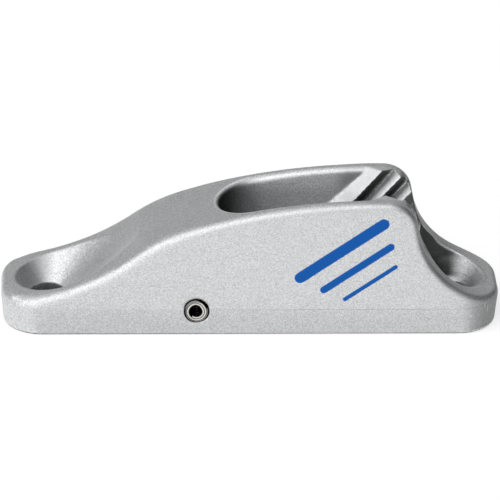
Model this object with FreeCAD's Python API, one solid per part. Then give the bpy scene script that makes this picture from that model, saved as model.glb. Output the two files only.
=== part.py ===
import FreeCAD, Part
import math
import os

# A die-cast jam cleat for 3 to 6 mm line, with a coiled spring pin pressed across it.
# Millimetres and degrees. X runs from the nose to the tail, Y across, Z up from the deck face.

# Outline of the casting in plan, given at the parting line, where it is widest
body_length = 82.5
body_width = 19.0
corner_radius = 6.9
parting_height = 4.9
base_draft = 4.9
wall_draft = 3.85
base_edge = 0.3

# Side view of the top, from the nose to the tail, as arcs that meet smoothly
nose_height = 6.05
nose_slope = 3.0
ramp_radius = 39.4
ramp_angle = 37.7
shoulder_radius = 25.7
shoulder_angle = 17.9
crown_radius = 104.6
crown_to_tail = 19.05
brow_radius = 5.0
rear_angle = 79.0
rear_straight = 1.5
tail_height = 6.0
top_fillet = 1.0

# Screw holes, each at the foot of a conical recess for a countersunk head
hole_spacing = 67.0
screw_hole = 5.4
seat_height = 3.8
seat_half_angle = 48.5
rear_recess_radius = 6.1

# Rope channel, open along the top and at the tail
channel_wall = 3.7
mouth_from_nose = 35.8
mouth_fillet = 1.0
channel_draft = 4.6
channel_floor = 11.9
channel_corner = 1.6

# Sawtooth ridges on both walls of the channel, sloping down towards the nose
tooth_count = 3
tooth_pitch = 4.1
tooth_slant = 47.0
tooth_land = 1.75
tooth_depth = 1.35
root_step = 0.05
vee_half_angle = 12.4
first_tip_to_tail = 19.4

# Rope exit, a slot up from the deck face to the front of the channel
exit_from_nose = 24.2
exit_length = 16.6
exit_step = 1.2
exit_roof_height = 16.0
exit_roof_radius = 9.0
lead_radius = 3.2
lead_front_height = 8.5
lead_slope = 19.0
lead_end_rise = 4.5

# Coiled spring pin across the exit
pin_diameter = 4.0
pin_strip = 0.32
pin_coil_gap = 0.05
pin_turns = 2.4
pin_seam_angle = 20.0
pin_step_in = 90.0
pin_chamfer = 0.25
pin_from_nose = 32.2
pin_height = 4.5
pin_clearance = 0.03

# Cutters run this far past the surfaces that they cut
overrun = 3.0

# Points on each turn of the spiral, and the distance under which two places are the same
spiral_steps = 24
same_place = 1e-6

nose_x = -body_length / 2
tail_x = body_length / 2

# Half widths inside the casting, measured in from its outer wall
mouth_half_width = body_width / 2 - channel_wall
root_half_gap = mouth_half_width - root_step
tip_half_gap = root_half_gap - tooth_depth
exit_half_width = mouth_half_width - exit_step


def tangent(angle):
    return math.tan(math.radians(angle))


def sine(angle):
    return math.sin(math.radians(angle))


def cosine(angle):
    return math.cos(math.radians(angle))


def wall_inset(z):
    """How far the drafted outer wall lies inside the parting line at height z."""
    if z < parting_height:
        return (parting_height - z) * tangent(base_draft)
    return (z - parting_height) * tangent(wall_draft)


def plan_outline(z):
    """The rounded rectangle of the outer wall at height z."""
    inset = wall_inset(z)
    half_x = body_length / 2 - inset
    half_y = body_width / 2 - inset
    radius = corner_radius - inset
    edges = []
    for turn in range(4):
        along = turn % 2 == 0
        reach, side = (half_x, half_y) if along else (half_y, half_x)
        spin = FreeCAD.Rotation(FreeCAD.Vector(0, 0, 1), 90 * turn)
        bend = radius * (1 - cosine(45))
        flat_start = FreeCAD.Vector(radius - reach, -side, z)
        flat_end = FreeCAD.Vector(reach - radius, -side, z)
        middle = FreeCAD.Vector(reach - bend, bend - side, z)
        corner_end = FreeCAD.Vector(reach, radius - side, z)
        edges.append(Part.LineSegment(spin.multVec(flat_start), spin.multVec(flat_end)).toShape())
        corner = [spin.multVec(point) for point in (flat_end, middle, corner_end)]
        edges.append(Part.Arc(*corner).toShape())
    return Part.Wire(edges)


class SidePath:
    """An outline in the XZ plane, drawn as runs and arcs that keep one heading."""

    def __init__(self, x, z, heading):
        self.x = x
        self.z = z
        self.heading = heading
        self.edges = []

    def point(self):
        return FreeCAD.Vector(self.x, 0, self.z)

    def run_to(self, x, z):
        start = self.point()
        self.x = x
        self.z = z
        self.edges.append(Part.LineSegment(start, self.point()).toShape())

    def run(self, length):
        self.run_to(self.x + length * cosine(self.heading), self.z + length * sine(self.heading))

    def arc(self, radius, heading):
        turn = radius if heading > self.heading else -radius
        start_x, start_z, start_heading = self.x, self.z, self.heading
        points = [self.point()]
        for angle in ((self.heading + heading) / 2, heading):
            self.x = start_x + turn * (sine(angle) - sine(start_heading))
            self.z = start_z - turn * (cosine(angle) - cosine(start_heading))
            points.append(self.point())
        self.heading = heading
        self.edges.append(Part.Arc(*points).toShape())


def side_profile():
    """The face under the top of the casting, and the height of its crest."""
    start_x = nose_x - overrun
    start_z = nose_height - overrun * tangent(nose_slope)
    path = SidePath(start_x, start_z, nose_slope)
    path.run_to(nose_x, nose_height)
    path.arc(ramp_radius, ramp_angle)
    path.arc(shoulder_radius, shoulder_angle)
    crown_run = tail_x - crown_to_tail - path.x
    crown_heading = math.degrees(math.asin(sine(shoulder_angle) - crown_run / crown_radius))
    crest = path.z + crown_radius * (1 - cosine(shoulder_angle))
    path.arc(crown_radius, crown_heading)
    path.arc(brow_radius, -rear_angle)
    path.run(rear_straight)
    rear_radius = (path.z - tail_height) / (1 - cosine(rear_angle))
    path.arc(rear_radius, 0)
    path.run(max(tail_x - path.x, 0) + overrun)
    path.run_to(path.x, -overrun)
    path.run_to(start_x, -overrun)
    path.run_to(start_x, start_z)
    return Part.Face(Part.Wire(path.edges)), crest


def across(face, half_width):
    """A face of the XZ plane as a prism centred on the middle of the casting."""
    prism = face.copy()
    prism.translate(FreeCAD.Vector(0, -half_width, 0))
    return prism.extrude(FreeCAD.Vector(0, 2 * half_width, 0))


def is_rim(edge):
    """Whether an edge goes round the top, rather than across it, down a wall or round the base."""
    if min(vertex.Point.z for vertex in edge.Vertexes) < parting_height + same_place:
        return False
    middle = edge.valueAt((edge.FirstParameter + edge.LastParameter) / 2)
    at_an_end = abs(middle.x) > body_length / 2 - corner_radius
    return at_an_end or abs(middle.y) > same_place


def casting_blank(profile, crest):
    """The solid casting before its holes, with its top and bottom edges broken."""
    skirt = Part.makeLoft([plan_outline(0), plan_outline(parting_height)], True, True)
    hump = Part.makeLoft([plan_outline(parting_height), plan_outline(crest + overrun)], True, True)
    blank = skirt.fuse(hump).common(across(profile, body_width)).removeSplitter()
    blank = blank.makeFillet(top_fillet, [edge for edge in blank.Edges if is_rim(edge)])
    base_edges = [edge for edge in blank.Edges if edge.BoundBox.ZMax < same_place]
    return blank.makeChamfer(base_edge, base_edges)


def upright(radius, x, z_low, z_high):
    return Part.makeCylinder(radius, z_high - z_low, FreeCAD.Vector(x, 0, z_low))


def screw_recesses(crest):
    """Both screw holes. The front cone runs out up the ramp, the rear one becomes a shaft."""
    radius = screw_hole / 2
    top = crest + overrun
    spread = tangent(seat_half_angle)
    cuts = []
    for x in (-hole_spacing / 2, hole_spacing / 2):
        cuts.append(upright(radius, x, -overrun, seat_height + overrun))
    front_seat = FreeCAD.Vector(-hole_spacing / 2, 0, seat_height)
    rise = top - seat_height
    cuts.append(Part.makeCone(radius, radius + rise * spread, rise, front_seat))
    rear_seat = FreeCAD.Vector(hole_spacing / 2, 0, seat_height)
    rise = (rear_recess_radius - radius) / spread
    cuts.append(Part.makeCone(radius, rear_recess_radius, rise, rear_seat))
    cuts.append(upright(rear_recess_radius, hole_spacing / 2, seat_height + rise, top))
    return cuts


def channel_section(crest):
    """Half of the section of the channel, as a face of the YZ plane at X = 0."""
    top = crest + overrun
    slope = tangent(channel_draft)
    corner_z = channel_floor + channel_corner * (1 - sine(channel_draft))
    corner_y = mouth_half_width - (crest - corner_z) * slope
    centre_y = corner_y - channel_corner * cosine(channel_draft)
    half = (90 - channel_draft) / 2 + channel_draft
    bend_y = centre_y + channel_corner * cosine(half)
    bend_z = channel_floor + channel_corner * (1 - sine(half))
    wall_top = FreeCAD.Vector(0, mouth_half_width + overrun * slope, top)
    wall_foot = FreeCAD.Vector(0, corner_y, corner_z)
    bend = FreeCAD.Vector(0, bend_y, bend_z)
    floor_edge = FreeCAD.Vector(0, centre_y, channel_floor)
    middle_low = FreeCAD.Vector(0, 0, channel_floor)
    middle_high = FreeCAD.Vector(0, 0, top)
    edges = [Part.LineSegment(middle_high, wall_top).toShape(),
             Part.LineSegment(wall_top, wall_foot).toShape(),
             Part.Arc(wall_foot, bend, floor_edge).toShape(),
             Part.LineSegment(floor_edge, middle_low).toShape(),
             Part.LineSegment(middle_low, middle_high).toShape()]
    return Part.Face(Part.Wire(edges))


def tooth_wall(side, crest):
    """The ridged wall on one side: a sawtooth outline swept down the slant of its ridges."""
    first_x = tail_x - first_tip_to_tail
    outer = body_width
    land_slope = (root_half_gap - tip_half_gap) / tooth_land
    outline = [(first_x - (outer - tip_half_gap) / land_slope, outer)]
    for tooth in range(tooth_count):
        tip_x = first_x + tooth * tooth_pitch
        outline.append((tip_x, tip_half_gap))
        outline.append((tip_x + tooth_pitch - tooth_land, root_half_gap))
    end_x = first_x + body_length
    outline.append((end_x, root_half_gap))
    outline.append((end_x, outer))
    outline.append(outline[0])
    top = crest + overrun
    drop = top - channel_floor + overrun
    lean = FreeCAD.Vector(1 / tangent(tooth_slant), side * tangent(vee_half_angle), 1)
    lift = lean * overrun
    corners = [FreeCAD.Vector(x, side * y, crest) + lift for x, y in outline]
    return Part.Face(Part.makePolygon(corners)).extrude(lean * -drop)


def rope_channel(crest):
    """The space of the channel: a drafted trough with a round front, less the ridged walls."""
    section = channel_section(crest)
    centre = FreeCAD.Vector(nose_x + mouth_from_nose + mouth_half_width, 0, 0)
    upward = FreeCAD.Vector(0, 0, 1)
    front = section.revolve(FreeCAD.Vector(0, 0, 0), upward, 180)
    half = section.extrude(FreeCAD.Vector(body_length, 0, 0))
    other = half.mirror(FreeCAD.Vector(0, 0, 0), FreeCAD.Vector(0, 1, 0))
    space = front.fuse([half, other]).removeSplitter()
    space.translate(centre)
    return space.cut([tooth_wall(1, crest), tooth_wall(-1, crest)])


def exit_side():
    """The side view of the slot, whose front wall bends over into its roof."""
    front_x = nose_x + exit_from_nose
    rear_x = front_x + exit_length
    path = SidePath(front_x, -overrun, 90)
    path.run_to(front_x, exit_roof_height - exit_roof_radius)
    path.arc(exit_roof_radius, 0)
    path.run_to(rear_x, exit_roof_height)
    path.run_to(rear_x, -overrun)
    path.run_to(front_x, -overrun)
    return Part.Face(Part.Wire(path.edges))


def exit_slot():
    """The slot up through the base, with round ends."""
    front_centre = nose_x + exit_from_nose + exit_half_width
    rear_centre = nose_x + exit_from_nose + exit_length - exit_half_width
    height = exit_roof_height + 2 * overrun
    corner = FreeCAD.Vector(front_centre, -exit_half_width, -overrun)
    middle = Part.makeBox(rear_centre - front_centre, 2 * exit_half_width, height, corner)
    ends = [upright(exit_half_width, x, -overrun, height - overrun) for x in (front_centre, rear_centre)]
    return middle.fuse(ends).removeSplitter().common(across(exit_side(), body_width))


def rope_lead():
    """The rounded way that slants from above the pin up into the floor of the channel."""
    start = FreeCAD.Vector(nose_x + pin_from_nose, 0, lead_front_height)
    way = FreeCAD.Vector(cosine(lead_slope), 0, sine(lead_slope))
    length = (channel_floor + lead_end_rise - lead_front_height) / sine(lead_slope)
    return Part.makeCylinder(lead_radius, length, start, way)


def pin_axis_start(length):
    return FreeCAD.Vector(nose_x + pin_from_nose, -length / 2, pin_height)


def pin_bore():
    radius = pin_diameter / 2 + pin_clearance
    return Part.makeCylinder(radius, 2 * body_width, pin_axis_start(2 * body_width), FreeCAD.Vector(0, 1, 0))


def coils_inward(turn):
    """How many strip pitches the spiral has moved in: it is round, with one smooth step a turn."""
    whole = math.floor(turn)
    level_part = 1 - pin_step_in / 360
    ease = max(turn - whole - level_part, 0) / (1 - level_part)
    return whole + ease * ease * (3 - 2 * ease)


def spiral(start, inset):
    """One face of the rolled strip, clockwise inward from its seam, with its two ends."""
    pitch = pin_strip + pin_coil_gap
    points = []
    for step in range(round(pin_turns * spiral_steps) + 1):
        turn = step / spiral_steps
        radius = pin_diameter / 2 - inset - pitch * coils_inward(turn)
        angle = pin_seam_angle - 360 * turn
        points.append(start + FreeCAD.Vector(radius * cosine(angle), 0, radius * sine(angle)))
    curve = Part.BSplineCurve()
    curve.interpolate(points)
    return curve.toShape(), points[0], points[-1]


def spring_pin():
    """A strip rolled up into a spiral, cut flush with both side walls and chamfered."""
    length = body_width - 2 * wall_inset(pin_height)
    start = pin_axis_start(length)
    outer, outer_seam, outer_end = spiral(start, 0)
    inner, inner_seam, inner_end = spiral(start, pin_strip)
    strip_end = Part.LineSegment(outer_end, inner_end).toShape()
    seam = Part.LineSegment(inner_seam, outer_seam).toShape()
    outline = Part.Face(Part.Wire([outer, strip_end, inner, seam]))
    way = FreeCAD.Vector(0, 1, 0)
    tip = pin_diameter / 2 - pin_chamfer
    taper = 2 * pin_chamfer
    shank = length - 2 * taper
    near = Part.makeCone(tip, tip + taper, taper, start, way)
    middle = Part.makeCylinder(tip + taper, shank, start + way * taper, way)
    far = Part.makeCone(tip + taper, tip, taper, start + way * (taper + shank), way)
    return outline.extrude(way * length).common(near.fuse([middle, far]))


def is_mouth_rim(edge):
    """Whether an edge goes round the mouth of the channel, ahead of its ridges."""
    box = edge.BoundBox
    high = box.ZMin > exit_roof_height + lead_radius
    inside = max(abs(box.YMin), abs(box.YMax)) < mouth_half_width
    between = box.XMin > nose_x + mouth_from_nose - mouth_fillet
    ahead = box.XMin < nose_x + mouth_from_nose + mouth_half_width + same_place
    return high and inside and between and ahead


def cleat_body():
    profile, crest = side_profile()
    body = casting_blank(profile, crest)
    cuts = screw_recesses(crest)
    cuts.append(rope_channel(crest))
    cuts.append(exit_slot())
    cuts.append(rope_lead())
    cuts.append(pin_bore())
    body = body.cut(cuts)
    return body.makeFillet(mouth_fillet, [edge for edge in body.Edges if is_mouth_rim(edge)])


def main():
    os.makedirs("parts", exist_ok=True)
    nodes = {"cleat_body": cleat_body(), "spring_pin": spring_pin()}
    for name, shape in nodes.items():
        box = shape.BoundBox
        print(name, len(shape.Solids), "solid,", round(shape.Volume, 2), "mm3, valid", shape.isValid(),
              "X", round(box.XMin, 3), round(box.XMax, 3), "Y", round(box.YMin, 3), round(box.YMax, 3),
              "Z", round(box.ZMin, 3), round(box.ZMax, 3))
        shape.exportStep(os.path.join("parts", name + ".step"))


main()
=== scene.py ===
import math

import bmesh
import bpy
import numpy as np
from mathutils import Matrix, Vector

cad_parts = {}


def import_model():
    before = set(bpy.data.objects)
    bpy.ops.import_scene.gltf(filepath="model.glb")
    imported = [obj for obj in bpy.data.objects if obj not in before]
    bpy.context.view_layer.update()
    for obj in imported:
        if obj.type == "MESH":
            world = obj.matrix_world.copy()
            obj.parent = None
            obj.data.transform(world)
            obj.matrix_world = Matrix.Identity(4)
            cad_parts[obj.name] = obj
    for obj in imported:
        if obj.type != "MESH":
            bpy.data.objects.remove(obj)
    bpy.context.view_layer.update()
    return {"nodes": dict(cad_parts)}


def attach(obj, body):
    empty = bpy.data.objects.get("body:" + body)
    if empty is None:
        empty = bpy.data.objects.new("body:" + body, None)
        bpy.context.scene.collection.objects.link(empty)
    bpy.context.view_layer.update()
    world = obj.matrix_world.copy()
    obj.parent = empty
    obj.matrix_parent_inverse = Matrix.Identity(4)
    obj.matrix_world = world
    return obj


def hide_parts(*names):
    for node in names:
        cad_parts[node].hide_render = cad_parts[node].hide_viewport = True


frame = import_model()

MM = 0.001

# Camera, fitted to the photograph's 500 x 500 frame
IMAGE_SIDE = 500
SENSOR_WIDTH = 36.0
FOCAL_PIXELS = 4224.7
CAMERA_DISTANCE = 700 * MM
CAMERA_ELEVATION = math.radians(27.0)
CAMERA_YAW = math.radians(-3.10)
CAMERA_ROLL = math.radians(1.31)
CAMERA_TARGET = Vector((0, 0, 11.07 * MM))
CLIP_NEAR = 0.05
CLIP_FAR = 20

# Places on the casting
BODY_HALF_LENGTH = 41.25 * MM
BODY_HALF_WIDTH = 9.5 * MM
CORNER_RADIUS = 6.9 * MM
PARTING_HEIGHT = 4.9 * MM
CREST = 23.41 * MM
MOUTH_HALF_WIDTH = 5.8 * MM
CHANNEL_FRONT_X = 0.35 * MM
CHANNEL_SLOPE = math.tan(math.radians(4.6))
TEETH_FROM = 18.5 * MM
TOOTH_PITCH = 4.1 * MM
TOOTH_BACK = 2.35 / 4.1
TOOTH_SLANT = 1 / math.tan(math.radians(47))
LAST_TIP = 8.2 * MM
RECESS_X = 33.5 * MM
RECESS_RADIUS = 6.1 * MM
SCREW_RADIUS = 2.7 * MM
SEAT_HEIGHT = 3.8 * MM
SEAT_SPREAD = math.tan(math.radians(48.5))
PIN_AXIS = Vector((-9.05, 0, 4.5)) * MM
PIN_RADIUS = 2.0 * MM
PIN_STRIP = 0.32 * MM
PIN_PITCH = 0.37 * MM
PIN_SEAM = math.radians(20)
PIN_STEP_FROM = 0.75

# Fineness of the casting's skin, and the steps by which its edges are eased
WELD_DISTANCE = 0.001 * MM
SKIN_VOXEL = 0.18 * MM
SKIN_TRIANGLES = 190000
EASE_SHARE = 0.5
EASE_ALL = 3
EASE_MOUTH = 6
EASE_NOSE = 60
EASE_TAIL = 2
EASE_CROWN = 45
EASE_RAMP = 90
EASE_SCOOP = 60

# Between which two places the easing of each edge fades in or out
MOUTH_BAND = 1.5 * MM
MOUTH_OUT = (MOUTH_HALF_WIDTH + MOUTH_BAND / 2, MOUTH_HALF_WIDTH + MOUTH_BAND)
MOUTH_UP = (16.0 * MM, 17.0 * MM)
MOUTH_START = (-9 * MM, -8 * MM)
MOUTH_END = (TEETH_FROM - 2 * MM, TEETH_FROM)
FLANGE_START = (28 * MM, 35 * MM)
FLANGE_LOW = (PARTING_HEIGHT - 1.5 * MM, PARTING_HEIGHT - 0.5 * MM)
FLANGE_HIGH = (7.5 * MM, 8.5 * MM)
FLANGE_FROM_HOLE = (6.8 * MM, 7.6 * MM)
SCOOP_OUT = (6.15 * MM, 6.3 * MM)
SCOOP_END = (35 * MM, 37 * MM)
SCOOP_LOW = (4.4 * MM, 5.4 * MM)
SCOOP_HIGH = (9 * MM, 11 * MM)
CROWN_END = (14 * MM, 20 * MM)
CROWN_OUT = (6.9 * MM, 7.5 * MM)
CROWN_UP = (6 * MM, 7 * MM)
RAMP_END = (-16 * MM, -4 * MM)
RAMP_OUT = (6.6 * MM, 7.4 * MM)
RAMP_UP = (4.9 * MM, 5.5 * MM)

# The silver coat, which is plainer on the ridges
COAT_COLOUR = (0.645, 0.655, 0.66)
COAT_ROUGHNESS = (0.43, 0.47)
COAT_SPECULAR = 0.2
FLAKE_SCALE = 7600.0
GRAIN_SCALE = 7000.0
MOTTLE_SCALE = 420.0
COAT_NOISE_ROUGHNESS = 0.6
MOTTLE_RANGE = (0.3, 0.7)
MOTTLE_TONES = (0.985, 1.015)
FLAKE_DEPTHS = (0.22, 0.1)
FLAKE_LEANS = (0.16, 0.06)
GRAIN_STRENGTH = 0.2
GRAIN_HEIGHT = 0.04 * MM
RIDGE_POLISH = 0.15

# Between which places the ridges' own coat begins, and how level a face may be
RIDGES_ALONG = (14 * MM, 16 * MM)
RIDGES_OUT = (6.2 * MM, 6.6 * MM)
RIDGES_UP = (13 * MM, 14 * MM)
RIDGES_LEVEL = (0.75, 0.9)

# Painted shade in the rope channel, and a painted highlight along its rim
CHANNEL_OUT = (0.1 * MM, 0.7 * MM)
CHANNEL_UP = (9 * MM, 12 * MM)
CHANNEL_ALONG = (-6 * MM, 3 * MM)
CHANNEL_FRONT_SHADE = 0.2
CHANNEL_WALL = (18.5 * MM, 20.5 * MM)
CHANNEL_WALL_SHADE_LEVELS = (0.95, 1.15)
RIM_OUT = 0.85 * MM
RIM_EDGE = (0.1 * MM, 0.3 * MM)
RIM_ALONG = (0.0, 5 * MM)
RIM_HIGHLIGHT = 1.3
RIM_UP = (17 * MM, 18 * MM)

# Painted shade and painted highlights along one pitch of the ridges, from tip to tip, and before the first
# and after the last
BACK_RANGE = (0.3, 0.5)
BACK_SHADES = (0.2, 0.9)
LAND_RANGE = (0.66, 1.0)
LAND_SHADES = (0.17, 0.85)
BACK_TO_LAND = (TOOTH_BACK - 0.02, TOOTH_BACK + 0.02)
FIRST_TIP_EDGE = (-0.05 * MM, 0.05 * MM)
FIRST_LAND_SHADE = 0.7
LAST_TIP_EDGE = (LAST_TIP - 0.05 * MM, LAST_TIP + 0.1 * MM)
LAST_BACK_SHADE = 0.3

# Painted shade in the tail recess, on its cone and in the shaft above, and a painted highlight on its thin
# rim
RECESS_OUT = (RECESS_RADIUS + 0.03 * MM, RECESS_RADIUS + 0.12 * MM)
RECESS_UP = (3.9 * MM, 4.6 * MM)
RECESS_RIM = RECESS_RADIUS + 0.24 * MM
RECESS_RIM_EDGE = (0.12 * MM, 0.24 * MM)
RECESS_RIM_ALONG = (31 * MM, 34 * MM)
RECESS_RIM_HIGHLIGHTS = (1.5, 1.15)
RECESS_RIM_UP = (6.2 * MM, 6.6 * MM)
CONE_ALONG = (33.4 * MM, 36.3 * MM)
CONE_SHADES = (0.06, 0.85)
SHAFT_ALONG = (33.4 * MM, 37.6 * MM)
SHAFT_SHADES = (0.17, 0.9)
CONE_TO_SHAFT = (5.5 * MM, 7.5 * MM)

# Painted shade and painted light in the nose recess
NOSE_CONE_EDGE = (0.1 * MM, 0.3 * MM)
NOSE_ALONG = (-33.9 * MM, -32.1 * MM)
NOSE_SHADES = (0.84, 1.06)
NOSE_FADE = (-30 * MM, -26 * MM)

# Shade in the gap round the pin, and the parting line
PIN_GAP = (0.04 * MM, 0.2 * MM)
PIN_GAP_TONE = 0.05
LINE_EDGE = (0.04 * MM, 0.14 * MM)
LINE_ALONG = (-6 * MM, 6 * MM)
LINE_DEPTHS = (0.07, 0.2)
LINE_MOTTLE = (0.35, 0.6)
LINE_MOTTLE_SHARES = (0.6, 1.0)

# Small marks on the near side: place, reach and how far the coat is darker or lighter there
MARKS = (
    ((-38.2, -8.12, 5.88), (0.22, 0.4, 0.16), 0.35),
    ((38.6, -8.05, 4.9), (0.13, 0.4, 0.5), 1.7),
    ((39.15, -7.4, 3.9), (0.11, 0.4, 0.75), 1.7),
    ((36.27, -9.09, 3.41), (0.14, 0.4, 0.3), 1.35),
)
MARK_EDGE = (0.6, 1.0)

# Printed stripes on the near side: middle (x, z), half length and half width
STRIPE_RISE = math.radians(35)
STRIPES = (
    ((14.6, 15.3), 8.2, 0.95),
    ((17.2, 12.2), 6.6, 0.62),
    ((19.4, 9.6), 5.0, 0.36),
)
STRIPE_SOFTNESS = 0.06 * MM
NEAR_SIDE = (-7.5 * MM, -6.5 * MM)
INK_COLOUR = (0.001, 0.112, 0.47, 1.0)
INK_WOBBLE = 0.06 * MM

# The pin's bright steel, whose coils show on its ends
STEEL_COLOUR = (0.68, 0.67, 0.63)
STEEL_ROUGHNESS = (0.22, 0.36)
STEEL_GRAIN_SCALE = 4000.0
STEEL_NOISE_ROUGHNESS = 0.7
STEEL_GRAIN_RANGE = (0.3, 0.7)
STEEL_GRAIN_TONES = (0.85, 1.1)
PIN_END_FACING = (0.8, 0.9)
# Painted shade on the pin's side and chamfer
PIN_SIDE_SHADE = 0.25
COIL_EDGE = (0.04, 0.3)
COIL_EDGE_TONE = 0.12
COIL_STRENGTH = 0.6
COIL_HEIGHT = 0.06 * MM

# Stage
FLOOR_SIDE = 12.0
FLOOR_COLOUR = (0.6, 0.6, 0.6, 1)
FLOOR_GLOW = 0.56
WORLD_LEVEL = 0.42

# Level cards: heights, places in plan, and the falling levels of a fan beside the tail
FOOTPRINT_STEPS = 8
OVERHEAD_HEIGHT = 0.9
OVERHEAD_PLACES = ((-0.9, 0), (0.1, 0), (0.1, 0.6), (-0.9, 0.6))
CARD_LIFT = 0.5 * MM
NEAR_LIFT = 0.4 * MM
UNDER_LIFT = 0.05 * MM
UNDER_INSET = 0.4 * MM
NEAR_PLACES = ((-0.04, -0.0162), (0.04, -0.0162), (0.035, -0.0091), (-0.035, -0.0091))
RIGHT_LOW_PLACES = ((0.0374, -0.0076), (0.3, -0.1), (0.35, 0.5), (0.048, 0.4), (0.0405, 0))
FAN_NEAR = ((0.035, -0.0086), (0.0357, -0.0085), (0.0364, -0.0082), (0.0374, -0.0076))
FAN_FAR = ((0.15, -0.265), (0.205, -0.233), (0.261, -0.177), (0.3, -0.1))
FAN_LEVELS = (0.78, 0.58, 0.44)


def new_object(name, mesh):
    obj = bpy.data.objects.new(name, mesh)
    bpy.context.scene.collection.objects.link(obj)
    return obj


def settled_mesh(obj):
    """The object's mesh with its modifiers worked in, as a mesh of its own."""
    graph = bpy.context.evaluated_depsgraph_get()
    graph.update()
    mesh = bpy.data.meshes.new_from_object(obj.evaluated_get(graph))
    obj.modifiers.clear()
    return mesh


def smooth_step(low, high, value):
    share = np.clip((value - low) / (high - low), 0, 1)
    return share * share * (3 - 2 * share)


def vertex_places(mesh):
    places = np.empty(len(mesh.vertices) * 3, np.float32)
    mesh.vertices.foreach_get("co", places)
    return places.reshape(-1, 3).astype(float)


def ease(mesh, steps, weight=None):
    """Draws each vertex towards the middle of its neighbours, step by step, by its weight."""
    ends = np.empty(len(mesh.edges) * 2, np.int32)
    mesh.edges.foreach_get("vertices", ends)
    first, second = ends.reshape(-1, 2).T
    count = len(mesh.vertices)
    neighbours = np.bincount(first, minlength=count) + np.bincount(second, minlength=count)
    places = vertex_places(mesh)
    share = EASE_SHARE if weight is None else EASE_SHARE * weight(places)[:, None]
    for _ in range(steps):
        total = np.empty_like(places)
        for axis in range(3):
            total[:, axis] = (np.bincount(first, places[second, axis], count)
                              + np.bincount(second, places[first, axis], count))
        places += share * (total / neighbours[:, None] - places)
    mesh.vertices.foreach_set("co", places.astype(np.float32).ravel())
    mesh.update()


def mouth_weight(places):
    """The rim of the rope channel, ahead of its teeth."""
    x, y, z = places.T
    inside = 1 - smooth_step(*MOUTH_OUT, np.abs(y))
    ahead = 1 - smooth_step(*MOUTH_END, x)
    behind = smooth_step(*MOUTH_START, x)
    return inside * ahead * behind * smooth_step(*MOUTH_UP, z)


def flange_weight(places, end):
    """The top edge of one low end, where end is -1 at the nose and 1 at the tail."""
    x, y, z = places.T
    ends = smooth_step(*FLANGE_START, x * end)
    above = smooth_step(*FLANGE_LOW, z)
    below = 1 - smooth_step(*FLANGE_HIGH, z)
    away = smooth_step(*FLANGE_FROM_HOLE, np.hypot(np.abs(x) - RECESS_X, y))
    return ends * above * below * away


def scoop_weight(places):
    """The corner low down between the wall and the cone of the tail recess."""
    x, y, z = places.T
    inside = 1 - smooth_step(*SCOOP_OUT, np.hypot(x - RECESS_X, y))
    ahead = 1 - smooth_step(*SCOOP_END, x)
    level = smooth_step(*SCOOP_LOW, z) * (1 - smooth_step(*SCOOP_HIGH, z))
    return inside * ahead * level


def crown_weight(places):
    """The long top edges of both sides, ahead of the brow."""
    x, y, z = places.T
    ahead = 1 - smooth_step(*CROWN_END, x)
    return ahead * smooth_step(*CROWN_OUT, np.abs(y)) * smooth_step(*CROWN_UP, z)


def ramp_weight(places):
    """The top edges of both sides beside the nose recess and up the ramp, which are the roundest."""
    x, y, z = places.T
    ahead = 1 - smooth_step(*RAMP_END, x)
    return ahead * smooth_step(*RAMP_OUT, np.abs(y)) * smooth_step(*RAMP_UP, z)


def casting_skin(source):
    """The casting as a fine even mesh, whose edges are eased as the coat eases them."""
    mesh = source.data.copy()
    mesh.materials.clear()
    cleaner = bmesh.new()
    cleaner.from_mesh(mesh)
    bmesh.ops.remove_doubles(cleaner, verts=cleaner.verts, dist=WELD_DISTANCE)
    cleaner.to_mesh(mesh)
    cleaner.free()
    obj = new_object("cast_skin", mesh)
    remesh = obj.modifiers.new("even", "REMESH")
    remesh.mode = "VOXEL"
    remesh.voxel_size = SKIN_VOXEL
    mesh = settled_mesh(obj)
    ease(mesh, EASE_MOUTH, mouth_weight)
    ease(mesh, EASE_NOSE, lambda places: flange_weight(places, -1))
    ease(mesh, EASE_TAIL, lambda places: flange_weight(places, 1))
    ease(mesh, EASE_CROWN, crown_weight)
    ease(mesh, EASE_RAMP, ramp_weight)
    ease(mesh, EASE_SCOOP, scoop_weight)
    ease(mesh, EASE_ALL)
    obj.data = mesh
    thin = obj.modifiers.new("thin", "DECIMATE")
    thin.ratio = min(1, SKIN_TRIANGLES / (2 * len(mesh.polygons)))
    obj.data = settled_mesh(obj)
    obj.data.shade_smooth()
    return obj


def camera():
    cos, sin = math.cos, math.sin
    ahead = Vector((-sin(CAMERA_YAW) * cos(CAMERA_ELEVATION),
                    cos(CAMERA_YAW) * cos(CAMERA_ELEVATION),
                    -sin(CAMERA_ELEVATION)))
    level_right = Vector((cos(CAMERA_YAW), sin(CAMERA_YAW), 0))
    level_up = level_right.cross(ahead)
    right = level_right * cos(CAMERA_ROLL) + level_up * sin(CAMERA_ROLL)
    up = level_up * cos(CAMERA_ROLL) - level_right * sin(CAMERA_ROLL)
    data = bpy.data.cameras.new("camera")
    data.sensor_width = SENSOR_WIDTH
    data.lens = FOCAL_PIXELS / IMAGE_SIDE * SENSOR_WIDTH
    data.clip_start = CLIP_NEAR
    data.clip_end = CLIP_FAR
    obj = new_object("camera", data)
    turn = Matrix((right, up, -ahead)).transposed().to_4x4()
    obj.matrix_world = Matrix.Translation(CAMERA_TARGET - ahead * CAMERA_DISTANCE) @ turn
    bpy.context.scene.camera = obj


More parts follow.
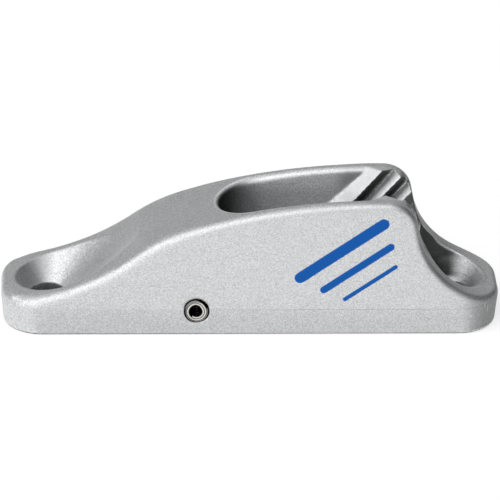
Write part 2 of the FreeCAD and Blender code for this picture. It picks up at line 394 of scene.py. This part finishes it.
class Graph:
    """A material's nodes: add() makes one and sets or links its inputs by name."""

    def __init__(self, name):
        self.material = bpy.data.materials.new(name)
        self.material.use_nodes = True
        self.tree = self.material.node_tree
        self.tree.nodes.clear()

    def add(self, kind, settings=None, **inputs):
        node = self.tree.nodes.new("ShaderNode" + kind)
        for key, value in (settings or {}).items():
            setattr(node, key, value)
        for key, value in inputs.items():
            plain = key.replace("_", " ")
            socket = node.inputs[int(plain[1:])] if plain[1:].isdigit() else node.inputs[plain]
            if isinstance(value, bpy.types.NodeSocket):
                self.tree.links.new(value, socket)
            else:
                socket.default_value = value
        return node

    def math(self, operation, first, second=0.0):
        return self.add("Math", {"operation": operation}, _0=first, _1=second).outputs[0]

    def plus(self, first, second):
        return self.math("ADD", first, second)

    def minus(self, first, second):
        return self.math("SUBTRACT", first, second)

    def times(self, first, second):
        return self.math("MULTIPLY", first, second)

    def apart(self, first, second):
        """How far two numbers lie apart."""
        return self.math("ABSOLUTE", self.minus(first, second))

    def vector(self, operation, first, second=(0.0, 0.0, 0.0)):
        return self.add("VectorMath", {"operation": operation}, _0=first, _1=second).outputs["Vector"]

    def length(self, vector):
        return self.add("VectorMath", {"operation": "LENGTH"}, _0=vector).outputs["Value"]

    def scaled(self, vector, share):
        return self.add("VectorMath", {"operation": "SCALE"}, _0=vector, Scale=share).outputs["Vector"]

    def reach(self, **sides):
        """The length of the vector with these sides."""
        return self.length(self.add("CombineXYZ", **sides).outputs[0])

    def span(self, value, from_low, from_high, low, high, smooth=False):
        """Runs from low to high while the value runs from from_low to from_high."""
        kind = {"interpolation_type": "SMOOTHSTEP" if smooth else "LINEAR"}
        node = self.add("MapRange", kind, Value=value, From_Min=from_low, From_Max=from_high,
                        To_Min=low, To_Max=high)
        return node.outputs["Result"]

    def between(self, share, first, second):
        """The first number where the share is 0, and the second where it is 1."""
        return self.span(share, 0.0, 1.0, first, second)

    def blend(self, share, first, second):
        node = self.add("Mix", {"data_type": "RGBA"}, Factor=share, _6=first, _7=second)
        return node.outputs[2]

    def output(self, shader):
        node = self.add("OutputMaterial")
        self.tree.links.new(shader, node.inputs["Surface"])
        return self.material


def from_pin(g, place):
    """The way from the pin's axis to a place, square to the axis."""
    return g.vector("MULTIPLY", g.vector("SUBTRACT", place, PIN_AXIS), (1.0, 0.0, 1.0))


def mark(g, place, centre, reach):
    """1 in a small ellipsoid of the skin, and 0 outside it."""
    away = g.vector("SUBTRACT", place, Vector(centre) * MM)
    share = g.length(g.vector("DIVIDE", away, Vector(reach) * MM))
    return g.span(share, *MARK_EDGE, 1.0, 0.0, True)


def stripe(g, place, middle, half_length, half_width):
    """1 in a straight stripe with round ends, which rises along the near side."""
    centre = Vector((middle[0], 0, middle[1])) * MM
    level = g.add("VectorRotate", {"rotation_type": "Y_AXIS"}, Vector=place, Center=centre,
                  Angle=STRIPE_RISE)
    apart = g.add("SeparateXYZ", Vector=g.vector("SUBTRACT", level.outputs[0], centre))
    past_end = g.minus(g.math("ABSOLUTE", apart.outputs["X"]), half_length * MM)
    away = g.reach(X=g.math("MAXIMUM", past_end, 0.0), Z=apart.outputs["Z"])
    edge = half_width * MM
    return g.span(away, edge - STRIPE_SOFTNESS, edge + STRIPE_SOFTNESS, 1.0, 0.0)


def ridge_mask(g, x, y, z, facing):
    """1 on the ridges' own faces, and 0 on the top above them and on the rest."""
    mask = g.times(g.span(x, *RIDGES_ALONG, 0.0, 1.0),
                   g.span(g.math("ABSOLUTE", y), *RIDGES_OUT, 1.0, 0.0))
    mask = g.times(mask, g.span(z, *RIDGES_UP, 0.0, 1.0))
    return g.times(mask, g.span(facing, *RIDGES_LEVEL, 1.0, 0.0))


def painted_channel_shade(g, x, y, z):
    """Painted shade on the walls of the rope channel, darkest deep in the round front and lighter high up,
    with a painted highlight along its rim.
    """
    ahead = g.math("MINIMUM", g.minus(x, CHANNEL_FRONT_X), 0.0)
    lean = g.times(g.minus(CREST, z), CHANNEL_SLOPE)
    out = g.minus(g.reach(X=ahead, Y=y), g.minus(MOUTH_HALF_WIDTH, lean))
    inside = g.times(g.span(out, *CHANNEL_OUT, 1.0, 0.0, True), g.span(z, *CHANNEL_UP, 0.0, 1.0))
    rim_highlight = g.span(x, *RIM_ALONG, RIM_HIGHLIGHT, 1.0)
    rim = g.span(g.apart(out, RIM_OUT), *RIM_EDGE, rim_highlight, 1.0, True)
    rim = g.span(z, *RIM_UP, 1.0, rim)
    along = g.math("POWER", g.span(x, *CHANNEL_ALONG, CHANNEL_FRONT_SHADE, 1.0, True), 2.0)
    wall = g.times(along, g.span(z, *CHANNEL_WALL, *CHANNEL_WALL_SHADE_LEVELS, True))
    return g.between(inside, rim, wall)


def painted_ridge_shade(g, ridges, x, z):
    """Painted shade on the backs and roots of the ridges, and painted highlights along their tips."""
    along = g.minus(x, g.times(z, TOOTH_SLANT))
    phase = g.math("FRACT", g.math("DIVIDE", along, TOOTH_PITCH))
    back = g.span(phase, *BACK_RANGE, *BACK_SHADES, True)
    land = g.span(phase, *LAND_RANGE, *LAND_SHADES)
    tone = g.between(g.span(phase, *BACK_TO_LAND, 0.0, 1.0), back, land)
    tone = g.between(g.span(along, *FIRST_TIP_EDGE, 0.0, 1.0), FIRST_LAND_SHADE, tone)
    tone = g.span(along, *LAST_TIP_EDGE, tone, LAST_BACK_SHADE)
    return g.between(ridges, 1.0, tone)


def painted_recess_shade(g, x, y, z):
    """Painted shade in the half of the tail recess that lies under the ridges, and a painted highlight on
    its rim.
    """
    away = g.reach(X=g.minus(x, RECESS_X), Y=y)
    inside = g.times(g.span(away, *RECESS_OUT, 1.0, 0.0), g.span(z, *RECESS_UP, 0.0, 1.0))
    rim_highlight = g.span(x, *RECESS_RIM_ALONG, *RECESS_RIM_HIGHLIGHTS)
    rim = g.span(g.apart(away, RECESS_RIM), *RECESS_RIM_EDGE, rim_highlight, 1.0)
    rim = g.span(z, *RECESS_RIM_UP, 1.0, rim)
    cone = g.span(x, *CONE_ALONG, *CONE_SHADES, True)
    shaft = g.span(x, *SHAFT_ALONG, *SHAFT_SHADES, True)
    return g.between(inside, rim, g.span(z, *CONE_TO_SHAFT, cone, shaft))


def painted_nose_shade(g, x, y, z):
    """Painted shade in the outer half of the nose recess and painted light in the inner half, with a band
    across its cone left as it is.
    """
    away = g.reach(X=g.plus(x, RECESS_X), Y=y)
    widest = SCREW_RADIUS + (CREST - SEAT_HEIGHT) * SEAT_SPREAD
    cone = g.span(z, SEAT_HEIGHT, CREST, SCREW_RADIUS, widest)
    on_cone = g.span(g.apart(away, cone), *NOSE_CONE_EDGE, 1.0, 0.0, True)
    tone = g.span(x, *NOSE_ALONG, *NOSE_SHADES, True)
    return g.between(on_cone, 1.0, g.span(x, *NOSE_FADE, tone, 1.0))


def line_tone(g, x, z, mottle):
    """A faint broken line where the halves of the die met."""
    line = g.span(g.apart(z, PARTING_HEIGHT), *LINE_EDGE, 1.0, 0.0, True)
    depth = g.times(g.span(x, *LINE_ALONG, *LINE_DEPTHS), g.span(mottle, *LINE_MOTTLE, *LINE_MOTTLE_SHARES))
    return g.minus(1.0, g.times(line, depth))


def ink_mask(g, place, y):
    """1 where the near side is printed, and 0 elsewhere."""
    ink = 0.0
    for middle, half_length, half_width in STRIPES:
        ink = g.math("MAXIMUM", ink, stripe(g, place, middle, half_length, half_width))
    return g.times(ink, g.span(y, *NEAR_SIDE, 1.0, 0.0))


def cast_material():
    """A satin silver coat on a die casting: metal flake over a slightly uneven skin."""
    g = Graph("cast_coat")
    place = g.add("TexCoord").outputs["Object"]
    x, y, z = g.add("SeparateXYZ", Vector=place).outputs
    facing = g.add("SeparateXYZ", Vector=g.add("NewGeometry").outputs["True Normal"]).outputs["Z"]
    ridges = ridge_mask(g, x, y, z, facing)
    cells = g.add("TexVoronoi", Vector=place, Scale=FLAKE_SCALE).outputs["Color"]
    flake = g.add("SeparateColor", Color=cells).outputs[0]
    grain = g.add("TexNoise", Vector=place, Scale=GRAIN_SCALE, Detail=2.0,
                  Roughness=COAT_NOISE_ROUGHNESS).outputs["Fac"]
    mottle = g.add("TexNoise", Vector=place, Scale=MOTTLE_SCALE, Detail=3.0,
                   Roughness=COAT_NOISE_ROUGHNESS).outputs["Fac"]
    cell_offset = g.vector("SUBTRACT", cells, (0.5, 0.5, 0.5))

    depth = g.between(ridges, *FLAKE_DEPTHS)
    fleck = g.times(g.minus(g.plus(flake, grain), 1.0), g.times(depth, 2.0))
    tone = g.times(g.plus(fleck, 1.0), g.span(mottle, *MOTTLE_RANGE, *MOTTLE_TONES))
    # Painted shade and painted highlights in the rope channel, on the ridges and in both screw recesses
    tone = g.times(tone, painted_channel_shade(g, x, y, z))
    tone = g.times(tone, painted_ridge_shade(g, ridges, x, z))
    tone = g.times(tone, painted_recess_shade(g, x, y, z))
    tone = g.times(tone, painted_nose_shade(g, x, y, z))
    past_pin = g.minus(g.length(from_pin(g, place)), PIN_RADIUS)
    tone = g.times(tone, g.span(past_pin, *PIN_GAP, PIN_GAP_TONE, 1.0, True))
    tone = g.times(tone, line_tone(g, x, z, mottle))
    for centre, reach, level in MARKS:
        tone = g.times(tone, g.between(mark(g, place, centre, reach), 1.0, level))
    coat = g.scaled(COAT_COLOUR, tone)

    inked_place = g.vector("ADD", place, g.scaled(cell_offset, INK_WOBBLE))
    ink = ink_mask(g, inked_place, y)
    colour = g.blend(ink, coat, INK_COLOUR)
    metal = g.minus(1.0, ink)

    rough = g.minus(g.span(mottle, *MOTTLE_RANGE, *COAT_ROUGHNESS), g.times(ridges, RIDGE_POLISH))
    bump = g.add("Bump", Strength=GRAIN_STRENGTH, Distance=GRAIN_HEIGHT, Height=grain)
    lean = g.scaled(cell_offset, g.between(ridges, *FLAKE_LEANS))
    normal = g.vector("NORMALIZE", g.vector("ADD", bump.outputs["Normal"], lean))
    shader = g.add("BsdfPrincipled", Base_Color=colour, Metallic=metal, Roughness=rough, Normal=normal,
                   Specular_IOR_Level=COAT_SPECULAR)
    return g.output(shader.outputs["BSDF"])


def coil_tone(g, away):
    """Darker where one coil of the pin meets the next."""
    sides = g.add("SeparateXYZ", Vector=away)
    angle = g.math("ARCTAN2", sides.outputs["Z"], sides.outputs["X"])
    turn = g.math("FRACT", g.math("DIVIDE", g.minus(PIN_SEAM, angle), 2 * math.pi))
    step = g.span(turn, PIN_STEP_FROM, 1.0, 0.0, 1.0, True)
    layer = g.minus(g.math("DIVIDE", g.minus(PIN_RADIUS, g.length(away)), PIN_PITCH), step)
    past_gap = (1 - PIN_STRIP / PIN_PITCH) / 2
    in_layer = g.math("FRACT", g.plus(layer, past_gap + 0.5))
    return g.span(g.apart(in_layer, 0.5), *COIL_EDGE, COIL_EDGE_TONE, 1.0, True)


def pin_material():
    """Bright rolled spring steel, with a dark line where one coil meets the next, and painted shade on its
    side and chamfer.
    """
    g = Graph("pin_strip")
    place = g.add("TexCoord").outputs["Object"]
    grain = g.add("TexNoise", Vector=place, Scale=STEEL_GRAIN_SCALE, Detail=3.0,
                  Roughness=STEEL_NOISE_ROUGHNESS).outputs["Fac"]
    facing = g.add("SeparateXYZ", Vector=g.add("NewGeometry").outputs["True Normal"]).outputs["Y"]
    on_end = g.span(g.math("ABSOLUTE", facing), *PIN_END_FACING, 0.0, 1.0)
    end_tone = g.between(on_end, 1.0, coil_tone(g, from_pin(g, place)))
    side_shade = g.between(on_end, PIN_SIDE_SHADE, 1.0)
    tone = g.times(g.span(grain, *STEEL_GRAIN_RANGE, *STEEL_GRAIN_TONES), g.times(end_tone, side_shade))
    colour = g.scaled(STEEL_COLOUR, tone)
    rough = g.span(grain, *STEEL_GRAIN_RANGE, *STEEL_ROUGHNESS)
    bump = g.add("Bump", Strength=COIL_STRENGTH, Distance=COIL_HEIGHT, Height=end_tone)
    shader = g.add("BsdfPrincipled", Base_Color=colour, Metallic=1.0, Roughness=rough,
                   Normal=bump.outputs["Normal"])
    return g.output(shader.outputs["BSDF"])


def seen_directly(tree):
    """1 for camera, glossy and transmission rays, and 0 for the rest."""
    path = tree.nodes.new("ShaderNodeLightPath")
    seen = path.outputs["Is Camera Ray"]
    for name in ("Is Glossy Ray", "Is Transmission Ray"):
        either = tree.nodes.new("ShaderNodeMath")
        either.operation = "MAXIMUM"
        tree.links.new(seen, either.inputs[0])
        tree.links.new(path.outputs[name], either.inputs[1])
        seen = either.outputs[0]
    return seen


def floor():
    g = Graph("floor_paper")
    lit = g.add("BsdfDiffuse", Color=FLOOR_COLOUR)
    glow = g.add("Emission", Strength=g.times(seen_directly(g.tree), FLOOR_GLOW))
    both = g.add("AddShader", _0=lit.outputs[0], _1=glow.outputs[0])
    mesh = bpy.data.meshes.new("floor")
    half = FLOOR_SIDE / 2
    corners = [(-half, -half, 0), (half, -half, 0), (half, half, 0), (-half, half, 0)]
    mesh.from_pydata(corners, [], [(0, 1, 2, 3)])
    mesh.materials.append(g.output(both.outputs[0]))
    new_object("floor", mesh)


def world():
    sky = bpy.data.worlds.new("studio")
    bpy.context.scene.world = sky
    sky.use_nodes = True
    tree = sky.node_tree
    tree.nodes.clear()
    background = tree.nodes.new("ShaderNodeBackground")
    background.inputs["Color"].default_value = (1, 1, 1, 1)
    background.inputs["Strength"].default_value = WORLD_LEVEL
    output = tree.nodes.new("ShaderNodeOutputWorld")
    tree.links.new(background.outputs[0], output.inputs["Surface"])


def softbox(name, azimuth, elevation, distance, width, height, radiance):
    """An area lamp that faces the object, given by how much brighter it is than the world behind it."""
    data = bpy.data.lights.new(name, "AREA")
    data.shape = "RECTANGLE"
    data.size = width
    data.size_y = height
    data.energy = radiance * math.pi * width * height
    turn, rise = math.radians(azimuth), math.radians(elevation)
    away = Vector((math.cos(turn) * math.cos(rise), math.sin(turn) * math.cos(rise), math.sin(rise)))
    obj = new_object(name, data)
    obj.location = away * distance
    obj.rotation_euler = (-away).to_track_quat("-Z", "Y").to_euler()


def standing(start, end, height):
    """The corners of an upright card between two places on the floor."""
    return [(*start, 0), (*end, 0), (*end, height), (*start, height)]


def lying(places, height):
    """The corners of a level card."""
    return [(x, y, height) for x, y in places]


def footprint(inset):
    """The rounded outline of the casting on the floor, drawn in by inset."""
    radius = CORNER_RADIUS - inset
    places = []
    for quarter in range(4):
        side_x = 1 if quarter in (0, 3) else -1
        side_y = 1 if quarter in (0, 1) else -1
        for step in range(FOOTPRINT_STEPS + 1):
            angle = math.pi / 2 * (quarter + step / FOOTPRINT_STEPS)
            places.append((side_x * (BODY_HALF_LENGTH - CORNER_RADIUS) + radius * math.cos(angle),
                           side_y * (BODY_HALF_WIDTH - CORNER_RADIUS) + radius * math.sin(angle)))
    return places


def card(name, corners, level):
    """A flat grey studio card that only the metal mirrors."""
    mesh = bpy.data.meshes.new(name)
    mesh.from_pydata(corners, [], [tuple(range(len(corners)))])
    g = Graph(name + "_paper")
    mesh.materials.append(g.output(g.add("Emission", Strength=level).outputs[0]))
    obj = new_object(name, mesh)
    for ray in ("camera", "diffuse", "shadow", "transmission", "volume_scatter"):
        setattr(obj, "visible_" + ray, False)


def cards():
    card("overhead_card", lying(OVERHEAD_PLACES, OVERHEAD_HEIGHT), level=1.0)
    card("right_card", standing(start=(0.35, -0.35), end=(0.35, 0.5), height=0.6), level=0.12)
    card("right_low_card", lying(RIGHT_LOW_PLACES, CARD_LIFT), level=0.36)
    for number, level in enumerate(FAN_LEVELS):
        strip = [FAN_NEAR[number], FAN_FAR[number], FAN_FAR[number + 1], FAN_NEAR[number + 1]]
        card("fan_card_" + str(number + 1), lying(strip, CARD_LIFT), level)
    # Painted shade: the near card and the under card stand for the floor's shade beside and under the
    # casting, as the metal mirrors it
    card("near_shade_card", lying(NEAR_PLACES, NEAR_LIFT), level=0.85)
    card("under_shade_card", lying(footprint(UNDER_INSET), UNDER_LIFT), level=0.0)


camera()
floor()
world()
softbox("key", azimuth=230, elevation=44, distance=1.2, width=2.2, height=2.0, radiance=1.2)
cards()

skin = casting_skin(frame["nodes"]["cleat_body"])
skin.data.materials.append(cast_material())
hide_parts("cleat_body")
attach(skin, "root")

pin = frame["nodes"]["spring_pin"]
pin.material_slots[0].material = pin_material()

view = bpy.context.scene.view_settings
view.view_transform = "Standard"
